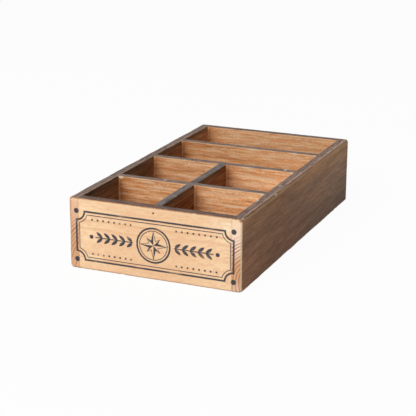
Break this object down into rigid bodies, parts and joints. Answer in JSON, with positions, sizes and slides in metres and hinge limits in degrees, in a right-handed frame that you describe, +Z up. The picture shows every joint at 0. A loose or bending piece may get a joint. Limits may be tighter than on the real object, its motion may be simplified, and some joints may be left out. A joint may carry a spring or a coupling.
{
  "type": "wooden organizer box",
  "caption": "Open wooden organizer box: dark stained side boards, pale printed front, and housed dividers that make square pockets in front and full-width bays behind.",
  "frame": {"origin": "middle of the underside, in the plane that the box rests on", "axes": "+Z up, +Y from the front board to the back board, +X to the right as seen from the front"},
  "size_m": [0.165, 0.3, 0.066],
  "materials": {
    "dark_stained_pine": "dark brown stain, satin, rubbed pale along the arrises",
    "natural_pine": "bare pine, smooth, with a worn blue-black geometric print",
    "amber_stained_pine": "amber stain with dark rim, satin",
    "ply": "stained plywood, matt",
    "steel": "darkened steel brads"
  },
  "bodies": {
    "root": {"side_board_left": "dark_stained_pine", "side_board_right": "dark_stained_pine", "front_board": "natural_pine", "back_board": "dark_stained_pine", "cross_divider_front": "amber_stained_pine", "cross_divider_middle": "amber_stained_pine", "cross_divider_rear": "amber_stained_pine", "centre_divider": "amber_stained_pine", "bottom_panel": "ply", "brad_left_front_board_low": "steel", "brad_left_front_board_high": "steel", "brad_left_back_board_low": "steel", "brad_left_back_board_high": "steel", "brad_left_front_divider_low": "steel", "brad_left_front_divider_high": "steel", "brad_left_middle_divider_low": "steel", "brad_left_middle_divider_high": "steel", "brad_left_rear_divider_low": "steel", "brad_left_rear_divider_high": "steel", "brad_right_front_board_low": "steel", "brad_right_front_board_high": "steel", "brad_right_back_board_low": "steel", "brad_right_back_board_high": "steel", "brad_right_front_divider_low": "steel", "brad_right_front_divider_high": "steel", "brad_right_middle_divider_low": "steel", "brad_right_middle_divider_high": "steel", "brad_right_rear_divider_low": "steel", "brad_right_rear_divider_high": "steel", "brad_centre_front": "steel", "brad_centre_rear": "steel"}
  },
  "joints": []
}
